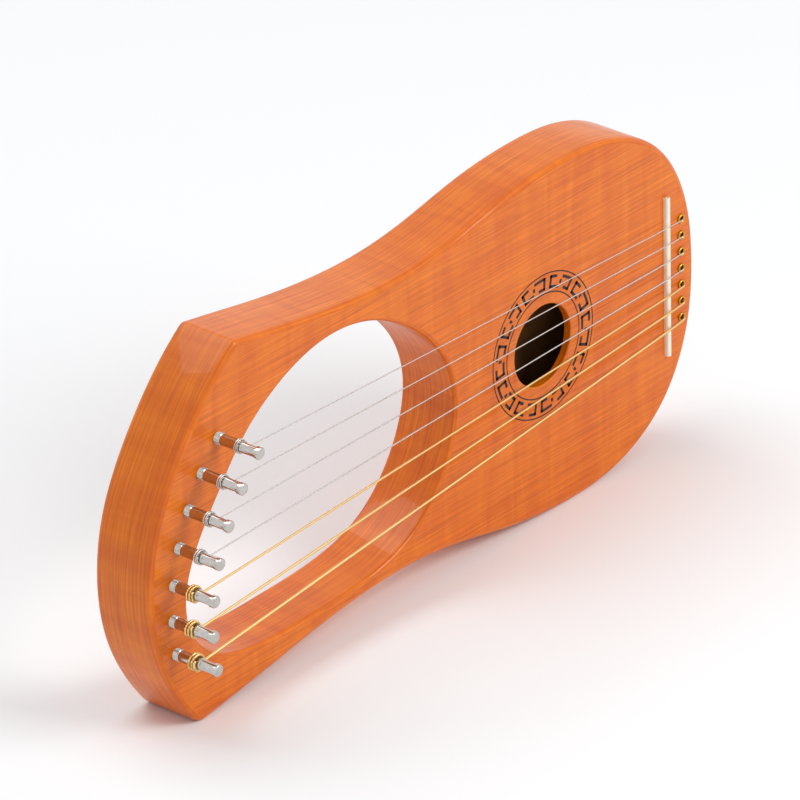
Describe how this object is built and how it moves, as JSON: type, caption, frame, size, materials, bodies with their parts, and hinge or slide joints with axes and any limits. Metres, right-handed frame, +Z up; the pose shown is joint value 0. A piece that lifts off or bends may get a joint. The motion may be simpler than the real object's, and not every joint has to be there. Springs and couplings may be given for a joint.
{
  "type": "lyre harp",
  "caption": "Small wooden lyre harp with a hollow waisted body, a hand opening between its arms, tuning pins on a slanted head, and metal strings over a saddle.",
  "frame": {"origin": "centre of the harp's bounding box, on the surface that it stands on", "axes": "+X along the harp's length towards the tail, where the strings are anchored; the face with the strings looks along -Y; +Z up, from the bass side that it stands on to the treble side"},
  "size_m": [0.3904, 0.0592, 0.1814],
  "materials": {
    "mahogany": "clear gloss lacquer over orange-brown mahogany",
    "brace_wood": "bare sanded softwood",
    "saddle_cream": "polished cream",
    "brass": "polished",
    "nickel": "bright nickel plate",
    "plain_steel": "drawn music wire",
    "bronze_wound": "fine bronze winding over a steel core"
  },
  "bodies": {
    "harp": {"soundboard": "mahogany", "back_plate": "mahogany", "head_block": "mahogany", "treble_arm": "mahogany", "bass_arm": "mahogany", "treble_rib": "mahogany", "bass_rib": "mahogany", "waist_bar": "mahogany", "tail_block": "mahogany", "brace_1": "brace_wood", "brace_2": "brace_wood", "saddle": "saddle_cream", "eyelet_1": "brass", "eyelet_2": "brass", "eyelet_3": "brass", "eyelet_4": "brass", "eyelet_5": "brass", "eyelet_6": "brass", "eyelet_7": "brass", "ball_end_1": "brass", "ball_end_2": "brass", "ball_end_3": "brass", "ball_end_4": "brass", "ball_end_5": "brass", "ball_end_6": "brass", "ball_end_7": "brass", "string_1": "plain_steel", "string_2": "plain_steel", "string_3": "plain_steel", "string_4": "plain_steel", "string_5": "bronze_wound", "string_6": "bronze_wound", "string_7": "bronze_wound"},
    "tuning_pin_1": {"tuning_pin_1": "nickel"},
    "tuning_pin_2": {"tuning_pin_2": "nickel"},
    "tuning_pin_3": {"tuning_pin_3": "nickel"},
    "tuning_pin_4": {"tuning_pin_4": "nickel"},
    "tuning_pin_5": {"tuning_pin_5": "nickel"},
    "tuning_pin_6": {"tuning_pin_6": "nickel"},
    "tuning_pin_7": {"tuning_pin_7": "nickel"}
  },
  "joints": [
    {"name": "tune_1", "type": "hinge", "parent": "harp", "child": "tuning_pin_1", "pos_m": [-0.14544, -0.0039, 0.13889], "axis": [0, -1, 0], "range_deg": [-90, 846]},
    {"name": "tune_2", "type": "hinge", "parent": "harp", "child": "tuning_pin_2", "pos_m": [-0.15755, -0.0039, 0.12594], "axis": [0, -1, 0], "range_deg": [-90, 846]},
    {"name": "tune_3", "type": "hinge", "parent": "harp", "child": "tuning_pin_3", "pos_m": [-0.16735, -0.0039, 0.11117], "axis": [0, -1, 0], "range_deg": [-90, 846]},
    {"name": "tune_4", "type": "hinge", "parent": "harp", "child": "tuning_pin_4", "pos_m": [-0.17456, -0.0039, 0.09497], "axis": [0, -1, 0], "range_deg": [-90, 846]},
    {"name": "tune_5", "type": "hinge", "parent": "harp", "child": "tuning_pin_5", "pos_m": [-0.17897, -0.0039, 0.0778], "axis": [0, -1, 0], "range_deg": [-90, 846]},
    {"name": "tune_6", "type": "hinge", "parent": "harp", "child": "tuning_pin_6", "pos_m": [-0.18048, -0.0039, 0.06013], "axis": [0, -1, 0], "range_deg": [-90, 846]},
    {"name": "tune_7", "type": "hinge", "parent": "harp", "child": "tuning_pin_7", "pos_m": [-0.17903, -0.0039, 0.04246], "axis": [0, -1, 0], "range_deg": [-90, 846]}
  ]
}
